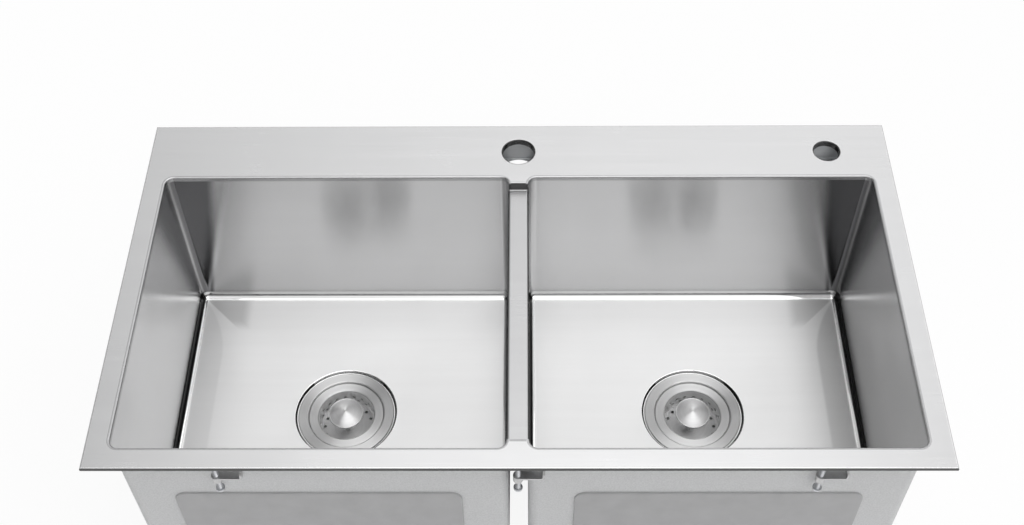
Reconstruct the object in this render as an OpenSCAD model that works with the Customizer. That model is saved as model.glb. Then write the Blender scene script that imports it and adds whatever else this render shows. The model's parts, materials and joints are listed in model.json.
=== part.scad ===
// Drop-in double-bowl kitchen sink in brushed stainless steel, with its drains and its fixing clips.
// All sizes are in millimetres. Z = 0 is the worktop's surface, X runs to the right as the user
// stands at the sink, Y runs to the back, and the deck's middle is at X = 0, Y = 0.

/* [Deck] */
// Width of the deck, left to right
sink_w = 820; // [720:5:1000]
// Depth of the deck, front to back
sink_d = 440; // [420:5:520]
// Height of the deck's top above the worktop
rim_h = 4; // [3.5:0.5:6]
// Thickness of the deck's sheet
deck_t = 1.2; // [0.8:0.1:1.5]
// Outer radius of the fold along the deck's edge
fold_r = 1.6; // [1.6:0.1:2.4]
// Flat rim left of the left bowl and right of the right bowl
side_rim = 23; // [23:1:40]
// Flat rim in front of the bowls
front_rim = 23; // [23:1:40]
// Wide flat deck behind the bowls, which carries the tap
rear_deck = 78; // [76:1:120]

/* [Bowls] */
// Depth of a bowl at its drain, below the deck's top
bowl_depth = 220; // [200:5:250]
// Radius of a bowl's upright corners and of its floor edge
corner_r = 9; // [8:1:20]
// Thickness of a bowl's sheet
bowl_t = 1.2; // [0.8:0.1:1.5]
// Outer radius of the lip where a wall turns out into the deck
lip_r = 2; // [1.6:0.1:2.4]
// Flat land of the lip, welded to the deck and ground flush
lip_land = 1; // [0.6:0.1:1.4]
// Fall of a bowl's floor from its edges to the drain
floor_fall = 3; // [2:0.5:6]

/* [Divider] */
// Width of the divider between the two bowls
divider_w = 22; // [20:1:40]
// Drop of the divider's top below the deck's top
divider_drop = 10; // [8:1:60]
// Outer radius of the divider's long edges
divider_r = 3; // [1.6:0.1:4]
// Height of the divider's turned-down sides
divider_side = 7; // [5:0.5:12]

/* [Deck holes] */
// Bore of the tap hole
tap_bore = 35; // [32:0.5:36]
// Tap hole's place, right of the middle
tap_x = 0; // [-60:1:60]
// Bore of the small hole for a dispenser
dispenser_bore = 28; // [24:0.5:32]
// Distance from the deck's right edge to the dispenser hole's centre
dispenser_side = 68; // [65:1:120]
// Distance from the rear edge to the centres of both holes
hole_back = 40; // [40:0.5:42]
// Radius of the rolled edge of a hole
hole_roll = 2; // [1.6:0.1:3]
// Straight length of the collar below the rolled edge
collar_len = 5; // [3:0.5:8]

/* [Rear channel] */
// Height of the channel under the rear deck
channel_h = 33; // [25:1:36]
// Sheet of the channel
channel_t = 1.2; // [1:0.1:1.4]
// Inner radius of the channel's two bends
channel_r = 0.8; // [0.5:0.1:1]
// Clear ring between a collar and the edge of the channel's hole below it
channel_hole_gap = 0.3; // [0.2:0.1:0.5]

/* [Drain seat] */
// Diameter of the hole in a bowl's floor
drain_d = 90; // [88:0.5:92]
// Drain centre's place, behind the bowl's middle
drain_back = 4; // [0:1:20]
// Depth of the pressed seat around the drain
seat_depth = 4; // [3.5:0.5:5]
// Inner radius of the bend at the seat's foot
seat_foot_r = 1.2; // [0.8:0.1:1.5]

/* [Strainer body] */
// Width of the flange that lies round the drain hole
flange_w = 10; // [8:0.5:13]
// Sheet of the strainer body
body_t = 1.2; // [1:0.1:1.4]
// Thickness of the rubber seal under the flange
flange_seal_t = 1; // [0.8:0.1:1.4]
// Outer radius of the bend from the flange into the throat
throat_bend = 2; // [1.6:0.1:2.2]
// Drop from the flange's top to the ledge that carries the basket
ledge_drop = 3.4; // [3.2:0.1:4]
// Outside diameter of the cup
cup_d = 75; // [74:0.5:78]
// Depth of the cup below the ledge
cup_depth = 33; // [32:1:45]
// Inner radius of the cup's bottom edge
cup_bend = 5; // [3:0.5:7]
// Outside diameter of the threaded neck
neck_d = 47; // [46:0.5:48]
// Bore of the neck
neck_bore = 40; // [39:0.5:41]
// Length of the neck
neck_len = 22; // [18:1:30]

/* [Drain fixings] */
// Thickness of the rubber gasket under the bowl
gasket_t = 3; // [2:0.5:4]
// Thickness of the friction ring
friction_t = 1; // [0.8:0.1:1.5]
// Width of gasket, friction ring and lock nut flange beyond the drain hole
gasket_w = 9; // [7:0.5:10]
// Thickness of the lock nut's flange
lock_flange_t = 3; // [2.5:0.5:4]
// Height of the lock nut
lock_h = 13; // [10:1:16]
// Wall of the lock nut's body
lock_wall = 7.5; // [6:0.5:9]
// Reach of the lock nut's spanner lugs
lug_reach = 6; // [4:0.5:7]
// Diameter of the waste pipe that plugs into the drain
pipe_d = 38.1; // [37.6:0.1:38.4]
// Thickness of the tail washer
tail_washer_t = 4; // [3:0.5:5]
// Outside diameter of the coupling nut
coupling_d = 58; // [56:1:62]
// Height of the coupling nut
coupling_h = 19; // [16:1:22]

/* [Basket] */
// Inside diameter of the basket's well
well_d = 64; // [62:0.5:66]
// Depth of the well below the basket's rim
well_depth = 26; // [22:1:28]
// Sheet of the basket
basket_t = 0.9; // [0.7:0.1:1]
// Outer radius of the bend from the rim into the well
basket_lip_r = 1.8; // [1.2:0.1:2.4]
// Inner radius of the well's bottom edge
basket_bend = 2.5; // [1.5:0.5:3.5]
// Diameter of the drain perforations
perforation_d = 4; // [3:0.5:5]
// Diameter of the domed knob
knob_d = 40; // [34:1:44]
// Height of the knob's dome
knob_dome_h = 6; // [5:0.5:8]
// Sheet of the knob
knob_t = 1; // [0.8:0.1:1.2]
// Height of the knob's edge above the basket's rim
knob_lift = 3; // [2:0.5:6]
// Diameter of the knob's stem
stem_d = 8; // [6:0.5:10]
// Diameter of the rubber stopper
stopper_d = 50; // [48:1:54]

/* [Clips] */
// Width of the rail that carries the clips
rail_w = 9.4; // [9.4:0.1:10]
// Height of the rail
rail_h = 9; // [8:0.5:12]
// Sheet of the rail
rail_t = 1.2; // [1:0.1:1.4]
// Distance of the outer front clips from the deck's side edges
front_clip_side = 120; // [110:5:200]
// Distance of the outer rear clips from the deck's side edges
rear_clip_side = 140; // [110:5:200]
// Place of the middle rear clip, clear of the tap
rear_mid_clip_x = 100; // [60:5:140]
// Diameter of a clip's screw
screw_d = 5; // [4:0.5:5]
// Length of the screw below the worktop's surface
screw_drop = 56; // [50:1:70]
// Depth of the claw's tip below the worktop's surface
claw_z = 26; // [20:1:34]
// Reach of the claw from its screw to its tip
claw_reach = 26; // [22:1:34]
// Width of the claw
claw_w = 9; // [8:0.5:9]
// Sheet of the claw
claw_t = 2.5; // [2:0.1:2.8]
// Height of the claw's tip above the underside of its arm
claw_rise = 9; // [8:0.5:12]
// Diameter of the claw's boss
boss_d = 9.6; // [9:0.1:10]
// Height of the claw's boss
boss_h = 9; // [7:0.5:12]

/* [Pads] */
// Thickness of the rubber pad under a bowl
base_pad_t = 3; // [2:0.5:4]
// Thickness of the rubber pads on a bowl's walls
wall_pad_t = 2.5; // [2:0.5:3]
// Height of the wall pads
wall_pad_h = 90; // [60:5:100]
// Bare margin round a pad, from the bowl's edge
pad_margin = 45; // [40:1:70]

/* [Hidden] */
$fn = 96;

// Fits and clearances
seat_gap = 0.3;
pipe_fit = 0.2;
thread_fit = 0.1;
swing_fit = 0.05;
flange_seat_gap = 2;
throat_gap = 0.8;
stopper_gap = 0.3;
rail_gap = 0.2;
nut_gap = 0.2;
slot_gap = 0.2;
pad_hole_gap = 5;
cut = 1;

// Heights
z_deck = rim_h;
z_under = z_deck - deck_t;
z_floor = z_deck - bowl_depth;
z_edge = z_floor + floor_fall;
z_seat = z_floor - seat_depth;
z_divider = z_deck - divider_drop;
z_cap = z_divider - divider_side;
z_channel = z_under - channel_h;

// The two bowls, seen from above
bowl_w = (sink_w - divider_w) / 2 - side_rim;
bowl_d = sink_d - front_rim - rear_deck;
bowl_x = (divider_w + bowl_w) / 2;
bowl_y = (front_rim - rear_deck) / 2;
lip_w = lip_r + lip_land;
gap_d = bowl_d - 2 * corner_r;
drain_y = bowl_y + drain_back;

// Seal and rails, measured in from the deck's edge
seal_w = 7.4;
seal_inset = fold_r;
rail_inset = seal_inset + seal_w + rail_gap;
rail_end = 30;
rail_bend = rail_t + nut_gap;
rail_axis = rail_inset + rail_w / 2;
rail_slot = screw_d + 2 * slot_gap;
z_rail = z_under - rail_h;

// Deck holes and rear channel: each hole is [x, bore]
hole_y = sink_d / 2 - hole_back;
hole_land = 1.5;
// Angle at which the round faces of the collars begin, clear of the axes of what goes through them
collar_seam = 37;
dispenser_x = sink_w / 2 - dispenser_side;
DECK_HOLES = [[tap_x, tap_bore], [dispenser_x, dispenser_bore]];
channel_land = 1;
channel_back = sink_d / 2 - rail_inset - rail_w - rail_gap;
channel_front = hole_y - tap_bore / 2 - deck_t - channel_hole_gap - channel_land - channel_t;
channel_end = 35;

// Drain seat, with a flat land where the falling floor meets it
flange_d = drain_d + 2 * flange_w;
seat_r = flange_d / 2 + flange_seat_gap;
seat_lip_r = 2;
seat_land = 1;
flat_r = seat_r + seat_lip_r + 2 * seat_land;

// Strainer body, from its flange down
z_flange = z_seat + flange_seal_t;
z_flange_top = z_flange + body_t;
z_ledge = z_flange_top - ledge_drop;
z_cup = z_ledge - cup_depth;
z_neck = z_cup - body_t - neck_len;
throat_r = drain_d / 2 - throat_gap - body_t;
ledge_bend = 0.8;
cup_r = cup_d / 2;

// Drain fixings, from the bowl's underside down
gasket_d = drain_d + 2 * gasket_w;
z_gasket = z_seat - bowl_t - gasket_t;
z_friction = z_gasket - friction_t;
z_lock = z_friction - lock_h;
lock_r = cup_r + lock_wall;
coupling_floor = 2;
coupling_gap = 1;
z_coupling = z_neck - tail_washer_t - coupling_floor;

// Basket
z_rim = z_ledge + seat_gap;
z_rim_top = z_rim + basket_t;
z_well = z_rim_top - well_depth;
rim_r = throat_r - seat_gap;
well_r = well_d / 2;
z_knob = z_rim_top + knob_lift;
stem_nut_h = 3;
stem_nut_w = 3;
stem_collar = 1.5;
recess_gap = 1;
z_stopper = z_cup + stopper_gap;
z_stopper_top = z_well - basket_t;

// Each clip is [x, y, turn]: its claw swings from along the rail to straight outwards
front_y = -sink_d / 2 + rail_axis;
side_x = sink_w / 2 - rail_axis;
front_clip_x = sink_w / 2 - front_clip_side;
rear_clip_x = sink_w / 2 - rear_clip_side;
CLIPS = [
    [-front_clip_x, front_y, 0],
    [0, front_y, 0],
    [front_clip_x, front_y, 0],
    [side_x, bowl_y, 90],
    [rear_clip_x, -front_y, 180],
    [rear_mid_clip_x, -front_y, 180],
    [-rear_clip_x, -front_y, 180],
    [-side_x, bowl_y, 270]
];
clip_nut_h = 3;
clip_nut_l = 12;
screw_head_h = 4;
screw_head_d = 9;
slot_w = 1.2;
slot_depth = 1.6;

STEEL = [0.82, 0.82, 0.83];
GREY = [0.60, 0.61, 0.62];
RUBBER = [0.10, 0.10, 0.11];
ZINC = [0.68, 0.69, 0.70];

// Where a sheet's path goes at each of its points, how far it turns there, and how much of the
// straight run the bend takes up
function heading(path, i) = atan2(path[i + 1][1] - path[i][1], path[i + 1][0] - path[i][0]);
function turn_of(path, i) = let (a = heading(path, i) - heading(path, i - 1))
    a > 180 ? a - 360 : a < -180 ? a + 360 : a;
function trim(path, i) = i == 0 || i == len(path) - 1 ? 0
    : path[i][2] * tan(abs(turn_of(path, i)) / 2);

// Bent sheet seen on its edge. The path's points are [x, y, radius of the bend], the path is one
// face of the sheet, and the sheet lies to its right.
module sheet(path, t) {
    for (i = [0:len(path) - 2]) {
        run = norm([path[i + 1][0] - path[i][0], path[i + 1][1] - path[i][1]]);
        length = run - trim(path, i) - trim(path, i + 1);
        if (length > 0.001)
            translate([path[i][0], path[i][1]])
                rotate(heading(path, i))
                    translate([trim(path, i), -t])
                        square([length, t]);
    }
    for (i = [1:len(path) - 2]) {
        side = sign(turn_of(path, i));
        translate([path[i][0], path[i][1]])
            rotate(heading(path, i - 1))
                translate([-trim(path, i), side * path[i][2]])
                    bend(side > 0 ? path[i][2] : path[i][2] - t, t, turn_of(path, i));
    }
}

// Ring sector of a bend, from its inner radius outwards
module bend(inner, t, angle) {
    reach = 2 * (inner + t) / cos(angle / 2);
    start = -90 * sign(angle);
    intersection() {
        difference() {
            circle(r = inner + t, $fn = 48);
            if (inner > 0.001)
                circle(r = inner, $fn = 48);
        }
        polygon([
            [0, 0],
            [reach * cos(start), reach * sin(start)],
            [reach * cos(start + angle), reach * sin(start + angle)]
        ]);
    }
}

// Rectangle with round corners, centred
module rounded_rect(w, d, r) {
    square([w - 2 * r, d], center = true);
    square([w, d - 2 * r], center = true);
    for (sx = [-1, 1], sy = [-1, 1])
        translate([sx * (w / 2 - r), sy * (d / 2 - r)])
            circle(r = r);
}

// Flat ring
module ring(r_in, r_out, z_low, z_high) {
    translate([0, 0, z_low])
        linear_extrude(z_high - z_low)
            difference() {
                circle(r = r_out);
                circle(r = r_in);
            }
}

// Moves a drain piece to the drain of the left (-1) or the right (1) bowl
module at_drain(side) {
    translate([side * bowl_x, drain_y, 0])
        children();
}

// Block from z_low to z_high whose four upper edges are rounded, with mitred corners
module folded_block(w, d, r, z_low, z_high) {
    intersection() {
        rotate([90, 0, 0])
            linear_extrude(d, center = true)
                folded_end(w, r, z_low, z_high);
        rotate([90, 0, 90])
            linear_extrude(w, center = true)
                folded_end(d, r, z_low, z_high);
    }
}

module folded_end(w, r, z_low, z_high) {
    translate([-w / 2, z_low])
        square([w, z_high - r - z_low]);
    translate([-w / 2 + r, z_low])
        square([w - 2 * r, z_high - z_low]);
    for (side = [-1, 1])
        translate([side * (w / 2 - r), z_high - r])
            circle(r = r, $fn = 48);
}

module deck_panel() {
    inner_w = sink_w - 2 * deck_t;
    inner_d = sink_d - 2 * deck_t;
    color(STEEL) {
        difference() {
            folded_block(sink_w, sink_d, fold_r, 0, z_deck);
            folded_block(inner_w, inner_d, fold_r - deck_t, -cut, z_under);
            translate([0, 0, z_under - cut])
                linear_extrude(deck_t + 2 * cut)
                    deck_cutouts();
        }
        for (hole = DECK_HOLES)
            translate([hole[0], hole_y, 0])
                rotate([0, 0, collar_seam])
                    rotate_extrude()
                        collar_section(hole[1] / 2);
    }
}

// Openings of the deck's sheet, up to the welds with the bowls' lips and the holes' collars
module deck_cutouts() {
    for (side = [-1, 1])
        translate([side * bowl_x, bowl_y])
            rounded_rect(bowl_w + 2 * lip_w, bowl_d + 2 * lip_w, corner_r + lip_w);
    translate([0, bowl_y])
        square([divider_w - 2 * lip_w, gap_d + 2 * lip_w], center = true);
    for (hole = DECK_HOLES)
        translate([hole[0], hole_y])
            circle(r = hole[1] / 2 + hole_roll + hole_land);
}

// Rolled edge and straight collar of a deck hole
module collar_section(r) {
    sheet([
        [r, z_deck - hole_roll - collar_len, 0],
        [r, z_deck, hole_roll],
        [r + hole_roll + hole_land, z_deck, 0]
    ], deck_t);
}

// Section through a bowl's floor edge, wall and lip: x is measured outwards from the corner's axis
module wall_section() {
    sheet([
        [0, z_edge, 0],
        [corner_r, z_edge, corner_r],
        [corner_r, z_deck, lip_r],
        [corner_r + lip_w, z_deck, 0]
    ], bowl_t);
}

// Four walls and four round corners
module bowl_walls() {
    for (i = [0:3]) {
        along = (i % 2 == 0 ? bowl_d : bowl_w) - 2 * corner_r;
        away = (i % 2 == 0 ? bowl_w : bowl_d) / 2 - corner_r;
        rotate([0, 0, 90 * i])
            translate([away, along / 2, 0]) {
                rotate([90, 0, 0])
                    linear_extrude(along)
                        wall_section();
                rotate_extrude(angle = 90)
                    wall_section();
            }
    }
}

// Block between a falling surface, shifted down from the floor's, and a level above its edges
module basin(shift, top) {
    hull() {
        translate([0, 0, z_edge - shift + top / 2])
            cube([bowl_w - 2 * corner_r, bowl_d - 2 * corner_r, top], center = true);
        translate([0, drain_back, z_floor - shift])
            cylinder(r = flat_r, h = floor_fall / 2, $fn = 32);
    }
}

// Pressed seat round the drain hole
module seat_section() {
    sheet([
        [drain_d / 2, z_seat, 0],
        [seat_r, z_seat, seat_foot_r],
        [seat_r, z_floor, seat_lip_r],
        [seat_r + seat_lip_r + seat_land, z_floor, 0]
    ], bowl_t);
}

// One bowl: walls, floor that falls to the drain from all sides, drain seat, and the wall beside
// the other bowl cut down to the divider
module bowl(side) {
    difference() {
        translate([side * bowl_x, bowl_y, 0]) {
            bowl_walls();
            difference() {
                basin(bowl_t, bowl_t);
                basin(0, cut);
                translate([0, drain_back, z_floor - bowl_t - cut])
                    cylinder(r = seat_r + seat_lip_r + seat_land / 2, h = floor_fall + bowl_t + 2 * cut);
            }
            translate([0, drain_back, 0])
                rotate_extrude()
                    seat_section();
        }
        translate([-divider_w / 2 - cut, bowl_y - gap_d / 2, z_cap])
            cube([divider_w + 2 * cut, gap_d, divider_side + divider_drop + cut]);
    }
}

// Lowered strip over the gap between the bowls, with an upright plate at each end
module divider_cap() {
    color(STEEL) {
        translate([0, bowl_y + gap_d / 2, 0])
            rotate([90, 0, 0])
                linear_extrude(gap_d)
                    sheet([
                        [-divider_w / 2, z_cap, 0],
                        [-divider_w / 2, z_divider, divider_r],
                        [divider_w / 2, z_divider, divider_r],
                        [divider_w / 2, z_cap, 0]
                    ], deck_t);
        translate([0, bowl_y, 0])
            for (end = [0, 1])
                mirror([0, end, 0])
                    end_plate();
    }
}

// Plate that closes the gap between the two bowls' walls and turns out into the deck's tongue
module end_plate() {
    foot_l = 6;
    half = divider_w / 2;
    difference() {
        intersection() {
            rotate([90, 0, 90])
                linear_extrude(divider_w, center = true)
                    sheet([
                        [-gap_d / 2 - lip_w, z_deck, 0],
                        [-gap_d / 2, z_deck, lip_r],
                        [-gap_d / 2, z_divider, lip_r],
                        [-gap_d / 2 + foot_l, z_divider, 0]
                    ], deck_t);
            rotate([90, 0, 0])
                linear_extrude(gap_d + 4 * lip_w, center = true) {
                    translate([-half + bowl_t, z_cap])
                        square([divider_w - 2 * bowl_t, z_deck - lip_r - z_cap]);
                    translate([-half + lip_r, z_cap])
                        square([divider_w - 2 * lip_r, z_under - z_cap]);
                    translate([-half + lip_w, z_cap])
                        square([divider_w - 2 * lip_w, z_deck - z_cap]);
                }
        }
        // The foot stays between the strip's rounded long edges
        for (side = [-1, 1])
            translate([side * half, (foot_l - gap_d) / 2 + cut, z_divider - deck_t])
                cube([2 * divider_r, foot_l + 2 * cut, 2 * deck_t], center = true);
    }
}

module left_bowl() {
    color(STEEL)
        bowl(-1);
}

module right_bowl() {
    color(STEEL)
        bowl(1);
}

// Channel under the rear deck, with a clear hole below each deck hole
module rear_channel() {
    len = sink_w - 2 * channel_end;
    color(GREY)
        difference() {
            translate([-len / 2, 0, 0])
                rotate([90, 0, 90])
                    linear_extrude(len)
                        sheet([
                            [channel_front + channel_t, z_under, 0],
                            [channel_front + channel_t, z_channel + channel_t, channel_r],
                            [channel_back - channel_t, z_channel + channel_t, channel_r],
                            [channel_back - channel_t, z_under, 0]
                        ], channel_t);
            for (hole = DECK_HOLES)
                translate([hole[0], hole_y, z_channel - cut])
                    cylinder(r = hole[1] / 2 + deck_t + channel_hole_gap, h = channel_t + 2 * cut);
        }
}

// C-shaped clip rail, slot downwards, running along X and centred
module rail(len) {
    color(ZINC)
        translate([-len / 2, 0, z_rail])
            rotate([90, 0, 90])
                linear_extrude(len)
                    sheet([
                        [-rail_slot / 2, 0, 0],
                        [-rail_w / 2, 0, rail_bend],
                        [-rail_w / 2, rail_h, rail_bend],
                        [rail_w / 2, rail_h, rail_bend],
                        [rail_w / 2, 0, rail_bend],
                        [rail_slot / 2, 0, 0]
                    ], rail_t);
}

module front_rail() {
    translate([0, front_y, 0])
        rail(sink_w - 2 * rail_end);
}

module rear_rail() {
    translate([0, -front_y, 0])
        rail(sink_w - 2 * rail_end);
}

module left_rail() {
    translate([-side_x, 0, 0])
        rotate([0, 0, 90])
            rail(sink_d - 2 * rail_end);
}

module right_rail() {
    translate([side_x, 0, 0])
        rotate([0, 0, 90])
            rail(sink_d - 2 * rail_end);
}

module rim_seal() {
    outer = 2 * seal_inset;
    inner = 2 * (seal_inset + seal_w);
    color(RUBBER)
        linear_extrude(z_under)
            difference() {
                square([sink_w - outer, sink_d - outer], center = true);
                square([sink_w - inner, sink_d - inner], center = true);
            }
}

// Rubber pad that follows the floor's underside and is cut out round the drain
module base_pad(side) {
    color(RUBBER)
        translate([side * bowl_x, bowl_y, 0])
            intersection() {
                difference() {
                    basin(bowl_t + base_pad_t, base_pad_t);
                    basin(bowl_t, cut);
                }
                translate([0, 0, z_floor - bowl_t - base_pad_t])
                    linear_extrude(floor_fall + base_pad_t)
                        difference() {
                            rounded_rect(bowl_w - 2 * pad_margin, bowl_d - 2 * pad_margin, corner_r);
                            translate([0, drain_back])
                                circle(r = seat_r + bowl_t + pad_hole_gap);
                        }
            }
}

// Rubber pad on a wall whose outer face is at a distance from the bowl's middle
module wall_pad(len, away) {
    color(RUBBER)
        translate([0, away, z_floor + pad_margin])
            rotate([-90, 0, 0])
                linear_extrude(wall_pad_t)
                    translate([0, -wall_pad_h / 2])
                        rounded_rect(len, wall_pad_h, corner_r);
}

module front_pad(side) {
    translate([side * bowl_x, bowl_y, 0])
        rotate([0, 0, 180])
            wall_pad(bowl_w - 2 * pad_margin, bowl_d / 2 + bowl_t);
}

module rear_pad(side) {
    translate([side * bowl_x, bowl_y, 0])
        wall_pad(bowl_w - 2 * pad_margin, bowl_d / 2 + bowl_t);
}

module side_pad(side) {
    translate([side * bowl_x, bowl_y, 0])
        rotate([0, 0, -90 * side])
            wall_pad(bowl_d - 2 * pad_margin, bowl_w / 2 + bowl_t);
}

module left_base_pad() { base_pad(-1); }
module left_front_pad() { front_pad(-1); }
module left_rear_pad() { rear_pad(-1); }
module left_side_pad() { side_pad(-1); }
module right_base_pad() { base_pad(1); }
module right_front_pad() { front_pad(1); }
module right_rear_pad() { rear_pad(1); }
module right_side_pad() { side_pad(1); }

// Moves a piece to a clip's place
module at_clip(clip) {
    translate([clip[0], clip[1], 0])
        rotate([0, 0, clip[2]])
            children();
}

// Square nuts that slide in the rails
module clip_nuts() {
    nut_w = rail_w - 2 * rail_t - 2 * nut_gap;
    color(ZINC)
        for (clip = CLIPS)
            at_clip(clip)
                difference() {
                    translate([-clip_nut_l / 2, -nut_w / 2, z_rail + rail_t])
                        cube([clip_nut_l, nut_w, clip_nut_h]);
                    translate([0, 0, z_rail])
                        cylinder(d = screw_d + 2 * swing_fit, h = rail_h);
                }
}

// Slotted screws that hang from the nuts
module clip_screws() {
    z_tip = z_rail + rail_t + clip_nut_h + 1;
    z_head = -screw_drop - screw_head_h;
    rounding = screw_head_h / 2;
    color(ZINC)
        for (clip = CLIPS)
            at_clip(clip)
                difference() {
                    rotate_extrude() {
                        translate([0, -screw_drop])
                            square([screw_d / 2, z_tip + screw_drop]);
                        translate([0, z_head + rounding])
                            square([screw_head_d / 2, screw_head_h - rounding]);
                        translate([0, z_head])
                            square([screw_head_d / 2 - rounding, screw_head_h]);
                        intersection() {
                            translate([screw_head_d / 2 - rounding, z_head + rounding])
                                circle(r = rounding, $fn = 48);
                            translate([0, z_head])
                                square([screw_head_d / 2, screw_head_h]);
                        }
                    }
                    translate([-screw_head_d / 2, -slot_w / 2, z_head - cut])
                        cube([screw_head_d, slot_w, slot_depth + cut]);
                }
}

// Claw that threads along its screw and hooks under the worktop: a strap bent up into a toothed tip
module claw(number) {
    teeth = 3;
    tooth = claw_w / teeth;
    z_arm = -claw_z - claw_rise;
    z_teeth = -claw_z - tooth / 2;
    color(ZINC)
        at_clip(CLIPS[number - 1])
            difference() {
                union() {
                    translate([0, 0, z_arm + claw_t - boss_h])
                        cylinder(d = boss_d, h = boss_h);
                    translate([0, claw_w / 2, 0])
                        rotate([90, 0, 0])
                            linear_extrude(claw_w)
                                sheet([
                                    [claw_reach, z_teeth, 0],
                                    [claw_reach, z_arm, claw_t * 1.5],
                                    [0, z_arm, 0]
                                ], claw_t);
                    for (i = [0:teeth - 1])
                        translate([claw_reach - claw_t, (i - (teeth - 1) / 2) * tooth, z_teeth])
                            rotate([90, 0, 90])
                                linear_extrude(claw_t)
                                    polygon([[-tooth / 2, 0], [tooth / 2, 0], [0, tooth / 2]]);
                }
                translate([0, 0, z_arm + claw_t - boss_h - cut])
                    cylinder(d = screw_d + 2 * swing_fit, h = boss_h + 2 * cut);
            }
}

module claw_1() { claw(1); }
module claw_2() { claw(2); }
module claw_3() { claw(3); }
module claw_4() { claw(4); }
module claw_5() { claw(5); }
module claw_6() { claw(6); }
module claw_7() { claw(7); }
module claw_8() { claw(8); }

// Deep-drawn strainer body: flange, throat, ledge and cup in one sheet, and a thick threaded neck
module strainer_body(side) {
    color(STEEL)
        at_drain(side)
            rotate_extrude() {
                sheet([
                    [neck_bore / 2, z_cup, 0],
                    [cup_r - body_t, z_cup, cup_bend],
                    [cup_r - body_t, z_ledge, body_t + ledge_bend],
                    [throat_r, z_ledge, ledge_bend],
                    [throat_r, z_flange_top, throat_bend],
                    [flange_d / 2, z_flange_top, body_t],
                    [flange_d / 2, z_flange, 0]
                ], body_t);
                translate([neck_bore / 2, z_neck])
                    square([(neck_d - neck_bore) / 2, neck_len + body_t]);
            }
}

module flange_seal(side) {
    edge = 1;
    color(RUBBER)
        at_drain(side)
            ring(drain_d / 2 + edge, flange_d / 2 - edge, z_seat, z_flange);
}

// Rubber gasket with a bevelled lower edge
module gasket(side) {
    bevel = gasket_t / 3;
    color(RUBBER)
        at_drain(side)
            rotate_extrude()
                polygon([
                    [drain_d / 2, z_gasket],
                    [gasket_d / 2 - bevel, z_gasket],
                    [gasket_d / 2, z_gasket + bevel],
                    [gasket_d / 2, z_gasket + gasket_t],
                    [drain_d / 2, z_gasket + gasket_t]
                ]);
}

module friction_ring(side) {
    color([0.62, 0.48, 0.32])
        at_drain(side)
            ring(drain_d / 2, gasket_d / 2, z_friction, z_gasket);
}

// Large nut that draws the strainer body down: flange, tapered foot and lugs for a spanner
module lock_nut(side) {
    lug_w = 8;
    lugs = 8;
    bevel = 1;
    color(ZINC)
        at_drain(side)
            difference() {
                union() {
                    rotate_extrude()
                        polygon([
                            [cup_r - bevel, z_lock],
                            [lock_r - bevel, z_lock],
                            [lock_r, z_lock + bevel],
                            [lock_r, z_friction - lock_flange_t - bevel],
                            [lock_r + bevel, z_friction - lock_flange_t],
                            [gasket_d / 2 - bevel, z_friction - lock_flange_t],
                            [gasket_d / 2, z_friction - lock_flange_t + bevel],
                            [gasket_d / 2, z_friction],
                            [cup_r - bevel, z_friction]
                        ]);
                    translate([0, 0, z_lock + bevel])
                        linear_extrude(lock_h - lock_flange_t - bevel)
                            intersection() {
                                circle(r = lock_r + lug_reach);
                                for (i = [0:lugs - 1])
                                    rotate(360 / lugs * i)
                                        translate([lock_r - lug_w / 2, -lug_w / 2])
                                            square([2 * lug_w, lug_w]);
                            }
                }
                translate([0, 0, z_lock - cut])
                    cylinder(r = cup_r + thread_fit, h = lock_h + 2 * cut);
            }
}

// Nylon washer that grips the waste pipe
module tail_washer(side) {
    color([0.90, 0.90, 0.88])
        at_drain(side)
            ring(pipe_d / 2 + pipe_fit, neck_d / 2, z_neck - tail_washer_t, z_neck);
}

// Slip-joint nut: threaded skirt over the neck, a floor under the washer, and grip ribs
module coupling_nut(side) {
    ribs = 12;
    rib_w = 4;
    rib_reach = 1.5;
    bevel = 2;
    color(ZINC)
        at_drain(side)
            difference() {
                union() {
                    rotate_extrude()
                        polygon([
                            [0, z_coupling],
                            [coupling_d / 2 - bevel, z_coupling],
                            [coupling_d / 2, z_coupling + bevel],
                            [coupling_d / 2, z_coupling + coupling_h],
                            [0, z_coupling + coupling_h]
                        ]);
                    translate([0, 0, z_coupling + bevel])
                        linear_extrude(coupling_h - 2 * bevel)
                            intersection() {
                                circle(r = coupling_d / 2 + rib_reach);
                                for (i = [0:ribs - 1])
                                    rotate(360 / ribs * i)
                                        translate([coupling_d / 2 - rib_w / 2, -rib_w / 2])
                                            square([rib_w, rib_w]);
                            }
                }
                translate([0, 0, z_neck - tail_washer_t])
                    cylinder(r = neck_d / 2 + thread_fit, h = coupling_h + tail_washer_t);
                translate([0, 0, z_coupling - cut])
                    cylinder(r = pipe_d / 2 + coupling_gap, h = coupling_h);
            }
}

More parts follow.
